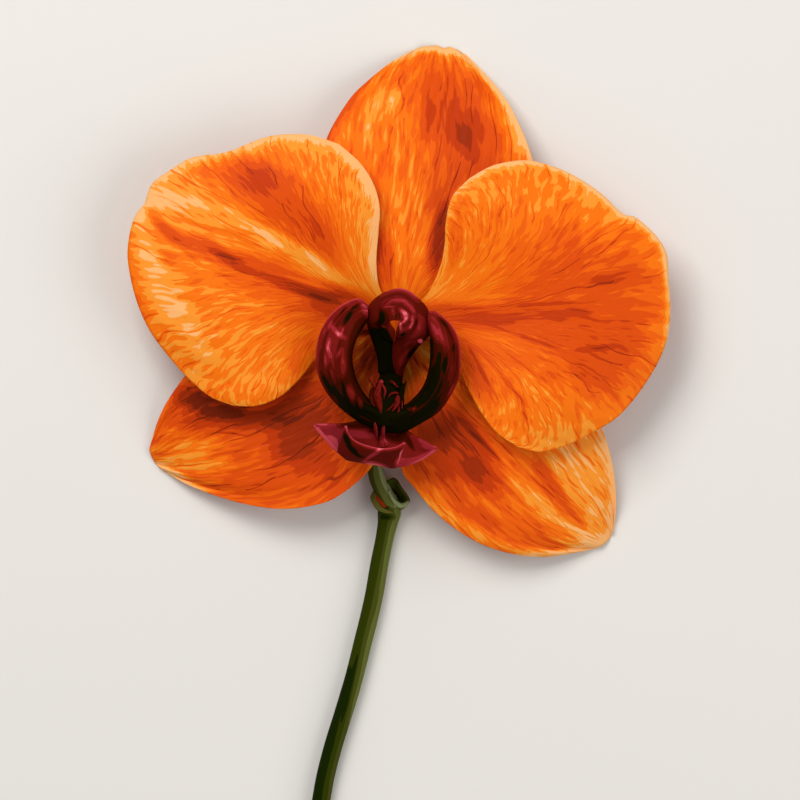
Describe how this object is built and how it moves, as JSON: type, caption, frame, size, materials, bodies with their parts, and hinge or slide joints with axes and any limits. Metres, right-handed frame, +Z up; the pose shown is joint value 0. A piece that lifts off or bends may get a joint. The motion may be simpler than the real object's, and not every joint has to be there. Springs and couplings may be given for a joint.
{
  "type": "orchid flower",
  "caption": "Single moth-orchid flower with broad orange petals and sepals, a crimson cupped lip, its pedicel and a cut length of flower stem.",
  "frame": {"origin": "below the middle of the whole flower and stem, on the surface it lies on", "axes": "+Z up, the way the flower faces; +Y towards the upper sepal, along the length; +X to the flower's right as it is looked at"},
  "size_m": [0.0978, 0.1458, 0.0231],
  "materials": {
    "petal": "satin plant tissue, orange with fine veins and paler margins",
    "sepal": "satin plant tissue, orange with fine veins",
    "lip": "waxy crimson to near-black plant tissue with pink edges",
    "column": "waxy dark maroon plant tissue",
    "anther_cap": "waxy crimson plant tissue with pink gloss",
    "pollinia": "waxy amber pollen mass",
    "green_stalk": "smooth dark green stalk, lighter along its lit side",
    "bract_green": "green sheath with a pale rim",
    "bract_olive": "olive-brown scale with a reddish inside"
  },
  "bodies": {
    "root": {"dorsal_sepal": "sepal", "lateral_sepal_left": "sepal", "lateral_sepal_right": "sepal", "petal_left": "petal", "petal_right": "petal", "lip": "lip", "column": "column", "anther_cap": "anther_cap", "pollinarium": "pollinia", "pedicel": "green_stalk", "stem": "green_stalk", "bract_right": "bract_green", "bract_left": "bract_olive"}
  },
  "joints": []
}
